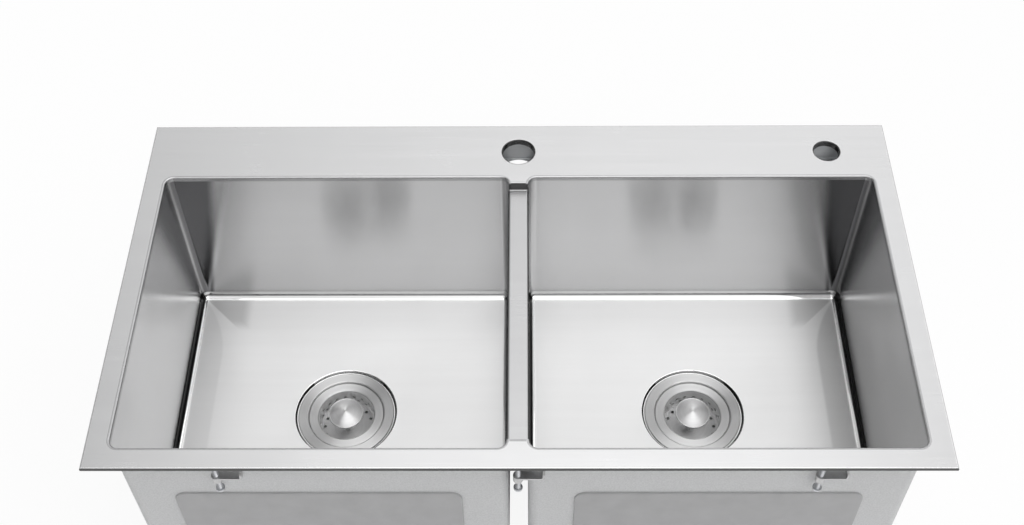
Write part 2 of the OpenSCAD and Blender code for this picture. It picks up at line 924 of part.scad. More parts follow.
// Lift-out basket: rolled rim, and a well with two rows of wall holes and a ring of floor holes
module basket(side) {
    wall_holes = 20;
    floor_holes = 16;
    flat_end = well_r - basket_bend;
    ring_r = (flat_end + stopper_d / 2) / 2;
    floor_hole_r = min(perforation_d / 2, (flat_end - stopper_d / 2) * 0.4);
    color(STEEL)
        at_drain(side)
            difference() {
                rotate_extrude()
                    sheet([
                        [stem_d / 2, z_well, 0],
                        [well_r, z_well, basket_bend],
                        [well_r, z_rim_top, basket_lip_r],
                        [rim_r, z_rim_top, basket_t],
                        [rim_r, z_rim, 0]
                    ], basket_t);
                for (i = [0:wall_holes - 1], row = [0, 1])
                    rotate([0, 0, 360 / wall_holes * (i + row / 2)])
                        translate([well_r - cut, 0, z_well + well_depth * (1 + row) / 4])
                            rotate([0, 90, 0])
                                cylinder(d = perforation_d, h = basket_t + 2 * cut, $fn = 20);
                for (i = [0:floor_holes - 1])
                    rotate([0, 0, 360 / floor_holes * i])
                        translate([ring_r, 0, z_well - basket_t - cut])
                            cylinder(r = floor_hole_r, h = basket_t + 2 * cut, $fn = 20);
            }
}

// Pressed dome with a rolled edge, on a stem that runs down through the basket and the stopper
module knob(side) {
    r = knob_d / 2;
    dome_r = (r * r + knob_dome_h * knob_dome_h) / (2 * knob_dome_h);
    z_centre = z_knob + knob_dome_h - dome_r;
    collar_h = 2;
    color(STEEL)
        at_drain(side)
            rotate_extrude() {
                intersection() {
                    translate([0, z_centre])
                        difference() {
                            circle(r = dome_r, $fn = 360);
                            circle(r = dome_r - knob_t, $fn = 360);
                        }
                    translate([0, z_knob])
                        square([r, knob_dome_h + cut]);
                }
                translate([r - knob_t, z_knob])
                    circle(r = knob_t, $fn = 48);
                translate([0, z_stopper])
                    square([stem_d / 2, z_knob + knob_dome_h - knob_t / 2 - z_stopper]);
                translate([0, z_well])
                    square([stem_d / 2 + stem_collar, collar_h]);
            }
}

// Rubber stopper under the well, with a thin sealing lip that closes the neck
module stopper(side) {
    r = stopper_d / 2;
    lip_h = 3;
    waist = 4;
    recess_r = stem_d / 2 + stem_nut_w + recess_gap;
    color(RUBBER)
        at_drain(side)
            rotate_extrude()
                polygon([
                    [stem_d / 2, z_stopper + stem_nut_h],
                    [recess_r, z_stopper + stem_nut_h],
                    [recess_r, z_stopper],
                    [r - lip_h / 3, z_stopper],
                    [r, z_stopper + lip_h / 3],
                    [r, z_stopper + lip_h * 2 / 3],
                    [r - waist, z_stopper + lip_h + 1],
                    [r - waist, z_stopper_top],
                    [stem_d / 2, z_stopper_top]
                ]);
}

module stem_nut(side) {
    color(ZINC)
        at_drain(side)
            difference() {
                translate([0, 0, z_stopper])
                    cylinder(r = stem_d / 2 + stem_nut_w, h = stem_nut_h, $fn = 6);
                translate([0, 0, z_stopper - cut])
                    cylinder(d = stem_d, h = stem_nut_h + 2 * cut);
            }
}

module left_strainer_body() { strainer_body(-1); }
module left_flange_seal() { flange_seal(-1); }
module left_gasket() { gasket(-1); }
module left_friction_ring() { friction_ring(-1); }
module left_lock_nut() { lock_nut(-1); }
module left_tail_washer() { tail_washer(-1); }
module left_coupling_nut() { coupling_nut(-1); }
module left_basket() { basket(-1); }
module left_knob() { knob(-1); }
module left_stopper() { stopper(-1); }
module left_stem_nut() { stem_nut(-1); }
module right_strainer_body() { strainer_body(1); }
module right_flange_seal() { flange_seal(1); }
module right_gasket() { gasket(1); }
module right_friction_ring() { friction_ring(1); }
module right_lock_nut() { lock_nut(1); }
module right_tail_washer() { tail_washer(1); }
module right_coupling_nut() { coupling_nut(1); }
module right_basket() { basket(1); }
module right_knob() { knob(1); }
module right_stopper() { stopper(1); }
module right_stem_nut() { stem_nut(1); }

deck_panel();
divider_cap();
left_bowl();
right_bowl();
rear_channel();
front_rail();
rear_rail();
left_rail();
right_rail();
rim_seal();
left_base_pad();
left_front_pad();
left_rear_pad();
left_side_pad();
right_base_pad();
right_front_pad();
right_rear_pad();
right_side_pad();
clip_nuts();
clip_screws();
claw_1();
claw_2();
claw_3();
claw_4();
claw_5();
claw_6();
claw_7();
claw_8();
left_strainer_body();
left_flange_seal();
left_gasket();
left_friction_ring();
left_lock_nut();
left_tail_washer();
left_coupling_nut();
left_basket();
left_knob();
left_stopper();
left_stem_nut();
right_strainer_body();
right_flange_seal();
right_gasket();
right_friction_ring();
right_lock_nut();
right_tail_washer();
right_coupling_nut();
right_basket();
right_knob();
right_stopper();
right_stem_nut();
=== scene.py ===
"""Brushed steel kitchen sink with two bowls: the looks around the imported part, from sheet to drains."""
import json
import math

import bpy
import numpy as np
from mathutils import Matrix, Vector


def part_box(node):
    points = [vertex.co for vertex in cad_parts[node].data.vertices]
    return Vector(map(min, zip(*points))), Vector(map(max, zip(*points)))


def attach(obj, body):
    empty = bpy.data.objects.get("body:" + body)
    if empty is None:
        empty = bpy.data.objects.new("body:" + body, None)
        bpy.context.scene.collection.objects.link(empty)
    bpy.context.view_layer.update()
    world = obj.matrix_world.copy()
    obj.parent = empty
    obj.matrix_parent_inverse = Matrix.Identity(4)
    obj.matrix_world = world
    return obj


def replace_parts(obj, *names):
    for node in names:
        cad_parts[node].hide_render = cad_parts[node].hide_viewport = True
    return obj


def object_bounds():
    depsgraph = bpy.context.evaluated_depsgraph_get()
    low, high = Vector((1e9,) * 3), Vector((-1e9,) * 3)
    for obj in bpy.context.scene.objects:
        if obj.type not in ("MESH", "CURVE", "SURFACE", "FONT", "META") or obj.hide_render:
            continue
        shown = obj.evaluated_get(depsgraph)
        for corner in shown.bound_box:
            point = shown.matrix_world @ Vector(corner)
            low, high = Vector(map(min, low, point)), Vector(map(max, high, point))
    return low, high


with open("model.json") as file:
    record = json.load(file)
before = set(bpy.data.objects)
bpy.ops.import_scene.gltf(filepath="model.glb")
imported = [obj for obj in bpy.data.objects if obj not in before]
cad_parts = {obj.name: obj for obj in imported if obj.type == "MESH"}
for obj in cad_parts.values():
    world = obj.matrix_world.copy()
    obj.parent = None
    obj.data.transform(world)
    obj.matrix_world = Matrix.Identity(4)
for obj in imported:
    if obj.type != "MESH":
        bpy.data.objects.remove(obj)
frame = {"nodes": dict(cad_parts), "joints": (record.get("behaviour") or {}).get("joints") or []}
cad_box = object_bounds()
NODES = frame["nodes"]
MM = 0.001

# Camera
# Eye height and tilt of someone at the sink: 52 degrees down, a little left of straight ahead. Its
# place, lens and turns were fitted to the edges and circles in the photo.
CAMERA_AT = Vector((7.62, -842.88, 1113.66)) * MM
CAMERA_PITCH, CAMERA_YAW, CAMERA_ROLL = math.radians(52.013), math.radians(-0.930), math.radians(-0.842)
SENSOR_MM, LENS_MM = 36, 47.53


def camera_turn(pitch, yaw, roll):
    """Rotation whose -Z looks along yaw from +Y and pitch below the horizon, rolled about that line."""
    forward = Vector((math.sin(yaw) * math.cos(pitch), math.cos(yaw) * math.cos(pitch), -math.sin(pitch)))
    level = Vector((math.cos(yaw), -math.sin(yaw), 0))
    upright = level.cross(forward)
    right = math.cos(roll) * level + math.sin(roll) * upright
    up = math.cos(roll) * upright - math.sin(roll) * level
    return Matrix((right, up, -forward)).transposed()


lens = bpy.data.cameras.new("camera")
lens.sensor_width = SENSOR_MM
lens.lens = LENS_MM
camera = bpy.data.objects.new("camera", lens)
bpy.context.collection.objects.link(camera)
camera.matrix_world = camera_turn(CAMERA_PITCH, CAMERA_YAW, CAMERA_ROLL).to_4x4()
camera.location = CAMERA_AT
bpy.context.scene.camera = camera
bpy.context.scene.view_settings.view_transform = "Standard"


# Studio
# A pale paper floor and a low white backdrop all round, in a dim room with broad soft light: overhead,
# high on the right, behind and in front, with a faint level low down. It leaves steel its dark and
# pale bands.
def material(name):
    """New node material, with its tree and its output node."""
    made = bpy.data.materials.new(name)
    made.use_nodes = True
    made.node_tree.nodes.clear()
    return made, made.node_tree, made.node_tree.nodes.new("ShaderNodeOutputMaterial")


def add(tree, kind, inputs=None, **settings):
    """New node: settings go to the node, inputs to its sockets, as values or as sockets to link."""
    node = tree.nodes.new(kind)
    for key, value in settings.items():
        setattr(node, key, value)
    for key, value in (inputs or {}).items():
        if isinstance(value, bpy.types.NodeSocket):
            tree.links.new(value, node.inputs[key])
        elif value is not None:
            node.inputs[key].default_value = value
    return node


def calc(tree, operation, a, b=None, c=None):
    """Result socket of a Math node."""
    return add(tree, "ShaderNodeMath", {0: a, 1: b, 2: c}, operation=operation).outputs[0]


def xyz(tree, vector):
    """Sockets X, Y and Z of a vector."""
    return add(tree, "ShaderNodeSeparateXYZ", {0: vector}).outputs


def ramp(tree, value, start, end):
    """Socket that rises smoothly from 0 at start to 1 at end."""
    return add(tree, "ShaderNodeMapRange", {"Value": value, "From Min": start, "From Max": end},
               interpolation_type="SMOOTHSTEP").outputs[0]


def between(tree, share, a, b):
    """Socket between two numbers."""
    return add(tree, "ShaderNodeMix", {0: share, 2: a, 3: b}, data_type="FLOAT").outputs[0]


def looked_at(tree):
    """1 for rays that show a background: the camera's own, and those mirrored or let through."""
    path = add(tree, "ShaderNodeLightPath").outputs
    shiny = calc(tree, "MAXIMUM", path["Is Glossy Ray"], path["Is Transmission Ray"])
    return calc(tree, "MAXIMUM", path["Is Camera Ray"], shiny)


FLOOR_HALF = 6.0
PAPER, PAPER_SHARE = (0.86, 0.86, 0.86, 1), 0.10
corners = [(x * FLOOR_HALF, y * FLOOR_HALF, cad_box[0].z) for x, y in ((-1, -1), (1, -1), (1, 1), (-1, 1))]
floor_mesh = bpy.data.meshes.new("floor")
floor_mesh.from_pydata(corners, [], [(0, 1, 2, 3)])
floor = bpy.data.objects.new("floor", floor_mesh)
bpy.context.collection.objects.link(floor)
pale_paper, tree, output = material("pale_paper")
paper = add(tree, "ShaderNodeBsdfDiffuse", {"Color": PAPER})
glow = add(tree, "ShaderNodeEmission", {"Color": (1, 1, 1, 1), "Strength": 1.0})
seen = calc(tree, "MULTIPLY", looked_at(tree), 1 - PAPER_SHARE)
lit_paper = add(tree, "ShaderNodeMixShader", {0: seen, 1: paper.outputs[0], 2: glow.outputs[0]})
tree.links.new(lit_paper.outputs[0], output.inputs["Surface"])
floor_mesh.materials.append(pale_paper)


def patch(tree, sky, **edges):
    """Share of a soft-edged patch of the sky: the product of two axes' ramps, each (start, end)."""
    return calc(tree, "MULTIPLY", *[ramp(tree, sky[axis], *ends) for axis, ends in edges.items()])


def leaning(tree, share, sky, slope, level):
    """Share times a factor that changes from left to right: slope times the sky's X, plus level."""
    factor = calc(tree, "MULTIPLY_ADD", sky["X"], slope, level)
    return calc(tree, "MULTIPLY", share, calc(tree, "MAXIMUM", factor, 0.0))


BACKDROP_TOP, BACKDROP_EDGE, BACKDROP_SHARE = 0.14, 0.04, 0.4
ROOM, LOW, OVERHEAD, RIGHT, BEHIND, FRONT = 0.05, 0.45, 2.25, 2.0, 1.02, 1.4
OVERHEAD_LEAN, BEHIND_LEAN, FRONT_LEAN = 0.6, (0.55, 0.97), (1.2, 1.0)
world = bpy.data.worlds.new("studio")
bpy.context.scene.world = world
world.use_nodes = True
tree = world.node_tree
tree.nodes.clear()
sky = xyz(tree, add(tree, "ShaderNodeTexCoord").outputs["Generated"])
right = patch(tree, sky, X=(0.25, 0.55), Z=(0.45, 0.65))
behind = leaning(tree, patch(tree, sky, Y=(0.20, 0.60), Z=(0.25, 0.45)), sky, *BEHIND_LEAN)
front = leaning(tree, patch(tree, sky, Y=(-0.20, -0.60), Z=(0.45, 0.65)), sky, *FRONT_LEAN)
low = ramp(tree, sky["Z"], 0.46, 0.36)
lit = calc(tree, "MULTIPLY", right, RIGHT)
for share, strength in ((behind, BEHIND), (front, FRONT), (low, LOW)):
    lit = calc(tree, "MAXIMUM", lit, calc(tree, "MULTIPLY", share, strength))
overhead = ramp(tree, sky["Z"], 0.88, 0.97)
overhead_level = calc(tree, "MULTIPLY_ADD", sky["X"], OVERHEAD_LEAN, OVERHEAD)
lit = calc(tree, "MULTIPLY_ADD", lit, calc(tree, "SUBTRACT", 1.0, overhead),
           calc(tree, "MULTIPLY_ADD", overhead, overhead_level, ROOM))
pale = between(tree, looked_at(tree), BACKDROP_SHARE, 1.0)
above = ramp(tree, sky["Z"], BACKDROP_TOP, BACKDROP_TOP + BACKDROP_EDGE)
air = add(tree, "ShaderNodeBackground", {"Color": (1, 1, 1, 1), "Strength": between(tree, above, pale, lit)})
tree.links.new(air.outputs[0], add(tree, "ShaderNodeOutputWorld").inputs["Surface"])

LAMP_AT, LAMP_W, LAMP_D, LAMP_WATTS = (0.2, 0.1, 2.4), 1.6, 1.2, 1
ceiling = bpy.data.lights.new("ceiling_light", "AREA")
ceiling.shape = "RECTANGLE"
ceiling.size, ceiling.size_y = LAMP_W, LAMP_D
ceiling.energy = LAMP_WATTS
lamp = bpy.data.objects.new("ceiling_light", ceiling)
bpy.context.collection.objects.link(lamp)
lamp.location = LAMP_AT


# Bowls
# Two bowls of 1.2 mm stainless sheet, folded and welded at the corners, with a satin grain that runs
# level round the walls. Their outsides are sprayed with a grey coat against noise and dew.
def group(name, inputs, outputs):
    """New shader node group with named inputs (name, kind, value) and outputs (name, kind)."""
    tree = bpy.data.node_groups.new(name, "ShaderNodeTree")
    for label, kind, value in inputs:
        socket = tree.interface.new_socket(label, in_out="INPUT", socket_type="NodeSocket" + kind)
        if value is not None:
            socket.default_value = value
    for label, kind in outputs:
        tree.interface.new_socket(label, in_out="OUTPUT", socket_type="NodeSocket" + kind)
    return tree, tree.nodes.new("NodeGroupInput").outputs, tree.nodes.new("NodeGroupOutput").inputs


def spread(tree, value, low, high, start=0.0, end=1.0):
    """Socket that carries start..end to low..high, clamped."""
    return add(tree, "ShaderNodeMapRange",
               {"Value": value, "From Min": start, "From Max": end, "To Min": low, "To Max": high}).outputs[0]


def blend(tree, share, a, b):
    """Socket between two colours."""
    return add(tree, "ShaderNodeMix", {0: share, 6: a, 7: b}, data_type="RGBA").outputs[2]


def pick(tree, share, a, b):
    """Socket between two vectors."""
    return add(tree, "ShaderNodeMix", {0: share, 4: a, 5: b}, data_type="VECTOR").outputs[1]


def vector_calc(tree, operation, a, b):
    """Vector socket of a Vector Math node."""
    return add(tree, "ShaderNodeVectorMath", {0: a, 1: b}, operation=operation).outputs[0]


def toned(tree, colour, shade):
    """Colour times shade."""
    return add(tree, "ShaderNodeVectorMath", {0: colour, "Scale": shade}, operation="SCALE").outputs[0]


def noise(tree, vector, scale, detail, roughness):
    """Socket of a noise texture."""
    inputs = {"Vector": vector, "Scale": scale, "Detail": detail, "Roughness": roughness}
    return add(tree, "ShaderNodeTexNoise", inputs).outputs["Fac"]


def from_noise(tree, value, low, high):
    """Socket that carries a noise's usual range, 0.3 to 0.7, to low..high."""
    return spread(tree, value, low, high, 0.3, 0.7)


def relief(tree, height, strength, depth):
    """Normal socket of a relief of a depth in millimetres."""
    inputs = {"Height": height, "Strength": strength, "Distance": depth * MM}
    return add(tree, "ShaderNodeBump", inputs).outputs[0]


def surface(tree, output, inputs):
    """Gives a material its Principled shader, with the inputs by name."""
    shader = add(tree, "ShaderNodeBsdfPrincipled", inputs)
    tree.links.new(shader.outputs[0], output.inputs["Surface"])


def place(tree):
    """Socket with a point's own place on the part."""
    return add(tree, "ShaderNodeTexCoord").outputs["Object"]


def facing(tree):
    """Socket with the way a point's face looks."""
    return add(tree, "ShaderNodeNewGeometry").outputs["Normal"]


# Satin grain: streaks that are long along the vector's X and narrow across it, in millimetres, over
# broader ones that follow them
BROADER = (0.3, 0.08, 0.08)
grain, source, result = group(
    "satin_grain", [("Vector", "Vector", None), ("Width", "Float", 1.0), ("Length", "Float", 90.0)],
    [("Fine", "Float"), ("Broad", "Float")])
narrow = calc(grain, "DIVIDE", 1 / MM, source["Width"])
long = calc(grain, "DIVIDE", 1 / MM, source["Length"])
stretch = add(grain, "ShaderNodeCombineXYZ", {0: long, 1: narrow, 2: narrow}).outputs[0]
drawn = vector_calc(grain, "MULTIPLY", source["Vector"], stretch)
wide = vector_calc(grain, "MULTIPLY", drawn, BROADER)
grain.links.new(noise(grain, drawn, 1.0, 3.0, 0.65), result["Fine"])
grain.links.new(noise(grain, wide, 1.0, 2.0, 0.5), result["Broad"])

# Handling: clouds of faint marks, 0 where clean and 1 where touched
handling, source, result = group(
    "handling", [("Vector", "Vector", None), ("Size", "Float", 70.0)], [("Marks", "Float")])
cloud = noise(handling, source["Vector"], calc(handling, "DIVIDE", 1 / MM, source["Size"]), 4.0, 0.6)
handling.links.new(spread(handling, cloud, 0.0, 1.0, 0.45, 0.75), result["Marks"])


def use(tree, effect, vector, **values):
    """Outputs of a node group placed in a tree."""
    node = add(tree, "ShaderNodeGroup", node_tree=effect)
    tree.links.new(vector, node.inputs["Vector"])
    for key, value in values.items():
        node.inputs[key].default_value = value
    return node.outputs


def steel(tree, colour, roughness, streaks, marks, tone, rough_swing):
    """Colour and roughness sockets of brushed steel. Its streaks swing both up and down, and handling
    marks dull it by 0.03 at most. Colour and roughness are given as values or as sockets."""
    shade = calc(tree, "ADD", from_noise(tree, streaks["Fine"], 1 - tone, 1 + tone),
                 from_noise(tree, streaks["Broad"], -tone, tone))
    rough = calc(tree, "ADD", from_noise(tree, streaks["Fine"], -rough_swing, rough_swing), roughness)
    return toned(tree, colour, shade), calc(tree, "ADD", rough, spread(tree, marks["Marks"], 0.0, 0.03))


def level_grain(tree):
    """Grain coordinates along X, or along Y on faces that look left or right."""
    coordinates = add(tree, "ShaderNodeTexCoord").outputs
    at = xyz(tree, coordinates["Object"])
    sideways = calc(tree, "GREATER_THAN", calc(tree, "ABSOLUTE", xyz(tree, coordinates["Normal"])["X"]), 0.72)
    turned = add(tree, "ShaderNodeCombineXYZ", {0: at["Y"], 1: at["X"], 2: at["Z"]}).outputs[0]
    return pick(tree, sideways, coordinates["Object"], turned)


def across_grain(tree):
    """Way in which highlights are drawn out: upwards on walls, and to the back on level faces."""
    flat = calc(tree, "GREATER_THAN", calc(tree, "ABSOLUTE", xyz(tree, facing(tree))["Z"]), 0.97)
    return pick(tree, flat, (0, 0, 1), (0, 1, 0))


def dress(look, *names):
    """Gives CAD nodes one material."""
    for name in names:
        mesh = NODES[name].data
        mesh.materials.clear()
        mesh.materials.append(look)


SIDES = ((-1, "left"), (1, "right"))
bowl_low, bowl_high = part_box("right_bowl")
BOWL_X, BOWL_Y, BOWL_Z = (bowl_low.x + bowl_high.x) / 2, (bowl_low.y + bowl_high.y) / 2, -0.106
INNER_HALF_W, INNER_HALF_D, FLOOR_EDGE_Z = 0.188, 0.1695, -0.213
WALL_SATIN, WALL_ROUGH = (0.65, 0.65, 0.655, 1), 0.21
# By side: the floor's steel is painted lighter than the walls' where it faces up, as painted light, and the
# right bowl's floor a little darker, as painted shade, as the photo shows it
FLOOR_SATIN_AND_PAINTED_LIGHT, FLOOR_ROUGH = {-1: (0.84, 0.84, 0.84, 1), 1: (0.78, 0.78, 0.78, 1)}, 0.48
FILLET_SATIN, FILLET_ROUGH = (0.72, 0.72, 0.72, 1), 0.10
# The lip's rougher finish is ground; its darker colour is painted shade, a dark outline along each opening
LIP_PAINTED_SHADE, LIP_ROUGH, LIP_Z = (0.46, 0.46, 0.465, 1), 0.25, -0.002
COAT, COAT_SHADE, COAT_ROUGH, COAT_TOP = (0.72, 0.725, 0.73, 1), 0.86, 0.62, -0.014

# Three darker tones inside the bowls, laid on by place where the photo shows them: painted reflections of
# dark surroundings at the back corners and at the side walls' feet, and painted shade on faint creases of the
# pressed floor. What makes them on the real sink is a guess: most likely what the steel mirrors, and faint
# creases in the pressed floor.
CORNER_PAINTED_REFLECTION, CORNER_FLARE, CORNER_FOOT_W = (0.17, 0.17, 0.175, 1), 0.18, 0.014
FOOT_PAINTED_REFLECTION, FOOT_TOP = (0.05, 0.05, 0.05, 1), -0.201
FACET_PAINTED_SHADE, BAND_W, BAND_FLARE = (0.62, 0.62, 0.62, 1), 0.035, 0.09


def from_outer_wall(tree, at, side):
    """Distance from the bowl's outer wall."""
    return calc(tree, "SUBTRACT", BOWL_X + INNER_HALF_W, calc(tree, "MULTIPLY", at["X"], side))


def painted_corner_reflection(tree, side):
    """Share of the dark triangle painted at a back wall's outer end, a painted reflection. Its width is the
    height above the floor times a flare, plus its width at the foot, and its inner edge is soft."""
    at = xyz(tree, place(tree))
    reach = calc(tree, "MULTIPLY_ADD", calc(tree, "ADD", at["Z"], -FLOOR_EDGE_Z), CORNER_FLARE, CORNER_FOOT_W)
    share = ramp(tree, calc(tree, "DIVIDE", from_outer_wall(tree, at, side), reach), 0.80, 1.10)
    on_back = ramp(tree, xyz(tree, facing(tree))["Y"], -0.5, -0.9)
    return calc(tree, "MULTIPLY", calc(tree, "SUBTRACT", 1.0, share), on_back)


def painted_foot_reflection(tree):
    """Share of the near-black band painted at a side wall's foot, a painted reflection, down to where the
    bend is nearly level.
    """
    turn = xyz(tree, facing(tree))
    aside, ahead = (calc(tree, "ABSOLUTE", turn[axis]) for axis in "XY")
    sideways = calc(tree, "GREATER_THAN", aside, ahead)
    low = spread(tree, xyz(tree, place(tree))["Z"], 1.0, 0.0, FOOT_TOP - MM, FOOT_TOP)
    steep = calc(tree, "SUBTRACT", 1.0, ramp(tree, turn["Z"], 0.82, 0.88))
    return calc(tree, "MULTIPLY", calc(tree, "MULTIPLY", sideways, low), steep)


def painted_facet_shade(tree, side):
    """Share of the painted shade on the floor's facets: a triangle between the back wall and a crease that
    leaves the back corner at 45 degrees, and a band along the outer wall. The band's width grows from the
    back wall as t(2 - t), where t is the share of its flare's length."""
    at = xyz(tree, place(tree))
    aside = from_outer_wall(tree, at, side)
    ahead = calc(tree, "SUBTRACT", BOWL_Y + INNER_HALF_D, at["Y"])
    behind_crease = ramp(tree, calc(tree, "SUBTRACT", aside, ahead), -0.001, 0.002)
    far = calc(tree, "MAXIMUM", ramp(tree, aside, 0.050, 0.066), ramp(tree, ahead, 0.034, 0.052))
    triangle = calc(tree, "MULTIPLY", behind_crease, calc(tree, "SUBTRACT", 1.0, far))
    t = spread(tree, ahead, 0.0, 1.0, 0.0, BAND_FLARE)
    reach = calc(tree, "MULTIPLY", calc(tree, "MULTIPLY", t, calc(tree, "SUBTRACT", 2.0, t)), BAND_W)
    outside = ramp(tree, calc(tree, "SUBTRACT", aside, reach), -0.002, 0.002)
    band = calc(tree, "MULTIPLY", calc(tree, "SUBTRACT", 1.0, outside), 0.60 + 0.30 * side)
    return calc(tree, "MAXIMUM", triangle, band)


def bowl_steel(tree, side):
    """Colour and roughness sockets of a bowl's sheet: its walls, floor, the bends between them and the
    lip that is ground with the deck, with their painted light and shade."""
    turn = calc(tree, "ABSOLUTE", xyz(tree, facing(tree))["Z"])
    level, upright = spread(tree, turn, 0.0, 1.0, 0.96, 0.995), spread(tree, turn, 1.0, 0.0, 0.02, 0.15)
    lip = spread(tree, xyz(tree, place(tree))["Z"], 0.0, 1.0, LIP_Z, LIP_Z + MM)
    # Painted reflection: a dark triangle at each back wall's outer corner
    wall = blend(tree, painted_corner_reflection(tree, side), WALL_SATIN, CORNER_PAINTED_REFLECTION)
    # Painted shade on the floor's facets
    floor_colour = blend(tree, painted_facet_shade(tree, side), FLOOR_SATIN_AND_PAINTED_LIGHT[side], FACET_PAINTED_SHADE)
    # The level floor takes a lighter colour than the walls of the same sheet: painted light
    colour = blend(tree, level, blend(tree, upright, FILLET_SATIN, wall), floor_colour)
    # Painted reflection: the near-black band at the side walls' feet
    colour = blend(tree, lip, blend(tree, painted_foot_reflection(tree), colour, FOOT_PAINTED_REFLECTION), LIP_PAINTED_SHADE)
    rough = between(tree, level, spread(tree, upright, FILLET_ROUGH, WALL_ROUGH), FLOOR_ROUGH)
    return colour, between(tree, lip, rough, LIP_ROUGH)


def coated(tree, at, side):
    """Share of the sprayed coat: faces that look away from the bowl's middle, below a ragged edge."""
    spoke = vector_calc(tree, "SUBTRACT", at, (side * BOWL_X, BOWL_Y, BOWL_Z))
    inputs = {0: spoke, 1: facing(tree)}
    away = add(tree, "ShaderNodeVectorMath", inputs, operation="DOT_PRODUCT").outputs["Value"]
    edge = calc(tree, "MULTIPLY_ADD", noise(tree, at, 60.0, 4.0, 0.7), 0.012, xyz(tree, at)["Z"])
    return calc(tree, "MULTIPLY", calc(tree, "GREATER_THAN", away, 0.0),
                spread(tree, edge, 1.0, 0.0, COAT_TOP, COAT_TOP + 0.004))


def bowl_look(side, hand):
    """Satin steel inside and sprayed coat outside."""
    made, tree, output = material(f"{hand}_bowl_steel")
    at = place(tree)
    streaks = use(tree, grain, level_grain(tree), Width=0.9, Length=110.0)
    marks = use(tree, handling, at, Size=80.0)
    colour, rough = steel(tree, *bowl_steel(tree, side), streaks, marks, 0.008, 0.01)
    coat = coated(tree, at, side)
    speckle = noise(tree, at, 700.0, 3.0, 0.6)
    dark_coat = tuple(COAT_SHADE * part for part in COAT[:3]) + (1,)
    paint = blend(tree, spread(tree, speckle, 0.0, 1.0, 0.35, 0.65), COAT, dark_coat)
    height = between(tree, coat, calc(tree, "MULTIPLY", streaks["Fine"], 0.002), speckle)
    surface(tree, output, {
        "Base Color": blend(tree, coat, colour, paint), "Metallic": calc(tree, "SUBTRACT", 1.0, coat),
        "Roughness": between(tree, coat, rough, COAT_ROUGH), "Anisotropic": 0.90,
        "Normal": relief(tree, height, 0.35, 0.25), "Tangent": across_grain(tree)})
    return made


for side, hand in SIDES:
    dress(bowl_look(side, hand), f"{hand}_bowl")


# Deck and divider
# One flat sheet with its edge folded down, ground flush after the bowls are welded in, and the
# lowered strip that covers the gap between them. The grain runs from left to right.
# Near black: painted shade on the deck's folded edge, its hole rims and the divider's folds
EDGE_PAINTED_SHADE = (0.10, 0.10, 0.10, 1)
# Near white: a painted highlight inside the baskets' wells
WELL_PAINTED_HIGHLIGHT, WELL_ROUGH = (0.95, 0.95, 0.95, 1), 0.55


def satin_look(name, colour, roughness, vector, tangent=None, anisotropy=0.0, width=0.9, length=110.0,
               tone=0.03, depth=0.02, painted_shade=None, painted_highlight=None):
    """Plain brushed steel; vector and tangent give the grain's coordinates and the highlights' way. The
    painted-shade mask gives the share of a place painted near black, as painted shade on edges and folds,
    and the painted-highlight mask the share painted near white, as a painted highlight on rougher steel."""
    made, tree, output = material(name)
    if painted_shade:
        colour = blend(tree, painted_shade(tree), colour + (1,), EDGE_PAINTED_SHADE)
    if painted_highlight:
        share = painted_highlight(tree)
        colour = blend(tree, share, colour + (1,), WELL_PAINTED_HIGHLIGHT)
        roughness = spread(tree, share, roughness, WELL_ROUGH)
    streaks = use(tree, grain, vector(tree), Width=width, Length=length)
    marks = use(tree, handling, place(tree), Size=70.0)
    tint, rough = steel(tree, colour, roughness, streaks, marks, tone, tone)
    surface(tree, output, {
        "Base Color": tint, "Metallic": 1.0, "Roughness": rough, "Anisotropic": anisotropy,
        "Normal": relief(tree, streaks["Fine"], 0.03, depth), "Tangent": tangent(tree) if tangent else None})
    return made


def ring_share(tree, centre, radius, width):
    """1 on a circle round an upright line through centre, falling to 0 at a distance."""
    spoke = vector_calc(tree, "MULTIPLY", vector_calc(tree, "SUBTRACT", place(tree), centre), (1, 1, 0))
    out = add(tree, "ShaderNodeVectorMath", {0: spoke}, operation="LENGTH").outputs["Value"]
    off = calc(tree, "ABSOLUTE", calc(tree, "SUBTRACT", out, radius))
    return spread(tree, off, 1.0, 0.0, width * 0.5, width)


def painted_edge_shade(tree):
    """Painted shade: the deck's folded edge and the rolled edges of its holes, painted near black."""
    turn = calc(tree, "ABSOLUTE", xyz(tree, facing(tree))["Z"])
    rings = [ring_share(tree, centre, radius, HOLE_EDGE_W) for centre, radius in HOLE_EDGES]
    return calc(tree, "MAXIMUM", spread(tree, turn, 1.0, 0.0, 0.55, 0.85), calc(tree, "MAXIMUM", *rings))


def painted_fold_shade(tree):
    """Painted shade: the divider's long folds and its end plates, painted near black."""
    return spread(tree, calc(tree, "ABSOLUTE", xyz(tree, facing(tree))["Z"]), 1.0, 0.0, 0.75, 0.97)


# The divider strip is the deck's steel painted darker: painted shade on the lowered strip
DECK, STRIP_PAINTED_SHADE, FLAT_ROUGH = (0.64, 0.64, 0.645), (0.52, 0.52, 0.525), 0.25
HOLE_EDGES, HOLE_EDGE_W = (((0, 0.18, 0), 0.0178), ((0.342, 0.18, 0), 0.0143)), 0.0014
ground = {"vector": level_grain, "tangent": across_grain, "anisotropy": 0.92, "tone": 0.012, "depth": 0.001}
dress(satin_look("deck_steel", DECK, FLAT_ROUGH, painted_shade=painted_edge_shade, **ground), "deck_panel")
dress(satin_look("divider_steel", STRIP_PAINTED_SHADE, FLAT_ROUGH, painted_shade=painted_fold_shade, **ground), "divider_cap")


